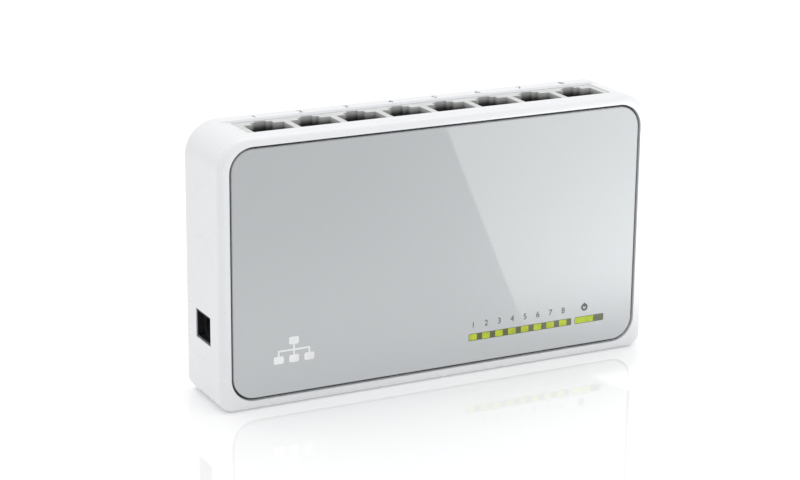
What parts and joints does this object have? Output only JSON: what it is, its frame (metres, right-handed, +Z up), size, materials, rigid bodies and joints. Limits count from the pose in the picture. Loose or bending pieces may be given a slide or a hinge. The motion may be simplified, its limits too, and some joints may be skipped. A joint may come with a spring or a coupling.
{
  "type": "desktop network switch",
  "caption": "Slim white desktop network switch with a glossy grey front panel, indicator strip, a row of RJ45 ports and a side power inlet.",
  "frame": {"origin": "centre of the base, on the surface it stands on", "axes": "+X along the case towards the end without the power inlet, -Y out of the glossy front panel, +Z up, the way the ports open"},
  "size_m": [0.1344, 0.025, 0.077],
  "materials": {
    "shell_white": "glossy white moulded plastic",
    "panel_grey": "silver grey gloss panel",
    "adhesive": "dark foam adhesive sheet",
    "screw_steel": "zinc plated",
    "foot_rubber": "matt",
    "label_silver": "blank satin label",
    "mask_olive": "dark olive tinted",
    "window_green": "yellow green tinted window",
    "guide_clear": "clear acrylic",
    "led_white": "led package",
    "board_green": "solder mask",
    "jack_grey": "light grey moulding",
    "carrier_dark": "dark insert",
    "contact_gold": "gold plated spring wire",
    "pin_tin": "tinned",
    "jack_black": "black moulding",
    "pin_nickel": "nickel plated",
    "chip_black": "moulded epoxy",
    "ferrite_dark": "ferrite",
    "can_aluminium": "drawn can",
    "chip_tan": "ceramic capacitor",
    "resistor_black": "thick film resistor"
  },
  "bodies": {
    "switch_body": {"front_shell": "shell_white", "rear_cover": "shell_white", "case_screws": "screw_steel", "rubber_feet": "foot_rubber", "rating_label": "label_silver", "front_panel": "panel_grey", "panel_adhesive": "adhesive", "indicator_mask": "mask_olive", "port_indicator_windows": "window_green", "power_indicator_window": "window_green", "port_light_guide": "guide_clear", "power_light_guide": "guide_clear", "port_leds": "led_white", "power_led": "led_white", "circuit_board": "board_green", "board_screws": "screw_steel", "jack_housing": "jack_grey", "contact_carriers": "carrier_dark", "jack_pins": "pin_tin", "dc_jack_housing": "jack_black", "dc_centre_pin": "pin_nickel", "dc_terminals": "pin_tin", "switch_chip": "chip_black", "switch_chip_leads": "pin_tin", "transformers": "chip_black", "transformer_leads": "pin_tin", "crystal": "pin_nickel", "capacitor_cans": "can_aluminium", "capacitor_bases": "chip_black", "power_inductor": "ferrite_dark", "regulator_chip": "chip_black", "regulator_leads": "pin_tin", "power_diode": "chip_black", "chip_capacitors": "chip_tan", "chip_resistors": "resistor_black"},
    "contact_springs_1": {"contact_springs_1": "contact_gold"},
    "contact_springs_2": {"contact_springs_2": "contact_gold"},
    "contact_springs_3": {"contact_springs_3": "contact_gold"},
    "contact_springs_4": {"contact_springs_4": "contact_gold"},
    "contact_springs_5": {"contact_springs_5": "contact_gold"},
    "contact_springs_6": {"contact_springs_6": "contact_gold"},
    "contact_springs_7": {"contact_springs_7": "contact_gold"},
    "contact_springs_8": {"contact_springs_8": "contact_gold"},
    "dc_leaf_spring": {"dc_leaf_spring": "pin_nickel"}
  },
  "joints": [
    {"name": "contact_flex_1", "type": "hinge", "parent": "switch_body", "child": "contact_springs_1", "pos_m": [-0.0477, -0.0037, 0.0749], "axis": [-1, 0, 0], "range_deg": [0, 8], "stiffness_Nm_per_rad": 0.3},
    {"name": "contact_flex_2", "type": "hinge", "parent": "switch_body", "child": "contact_springs_2", "pos_m": [-0.03372, -0.0037, 0.0749], "axis": [-1, 0, 0], "range_deg": [0, 8], "stiffness_Nm_per_rad": 0.3},
    {"name": "contact_flex_3", "type": "hinge", "parent": "switch_body", "child": "contact_springs_3", "pos_m": [-0.01976, -0.0037, 0.0749], "axis": [-1, 0, 0], "range_deg": [0, 8], "stiffness_Nm_per_rad": 0.3},
    {"name": "contact_flex_4", "type": "hinge", "parent": "switch_body", "child": "contact_springs_4", "pos_m": [-0.00579, -0.0037, 0.0749], "axis": [-1, 0, 0], "range_deg": [0, 8], "stiffness_Nm_per_rad": 0.3},
    {"name": "contact_flex_5", "type": "hinge", "parent": "switch_body", "child": "contact_springs_5", "pos_m": [0.00818, -0.0037, 0.0749], "axis": [-1, 0, 0], "range_deg": [0, 8], "stiffness_Nm_per_rad": 0.3},
    {"name": "contact_flex_6", "type": "hinge", "parent": "switch_body", "child": "contact_springs_6", "pos_m": [0.02216, -0.0037, 0.0749], "axis": [-1, 0, 0], "range_deg": [0, 8], "stiffness_Nm_per_rad": 0.3},
    {"name": "contact_flex_7", "type": "hinge", "parent": "switch_body", "child": "contact_springs_7", "pos_m": [0.03612, -0.0037, 0.0749], "axis": [-1, 0, 0], "range_deg": [0, 8], "stiffness_Nm_per_rad": 0.3},
    {"name": "contact_flex_8", "type": "hinge", "parent": "switch_body", "child": "contact_springs_8", "pos_m": [0.0501, -0.0037, 0.0749], "axis": [-1, 0, 0], "range_deg": [0, 8], "stiffness_Nm_per_rad": 0.3},
    {"name": "dc_leaf_flex", "type": "hinge", "parent": "switch_body", "child": "dc_leaf_spring", "pos_m": [-0.05275, 0.0044, 0.02165], "axis": [0, 0, 1], "range_deg": [-3.5, 0], "stiffness_Nm_per_rad": 0.2}
  ]
}
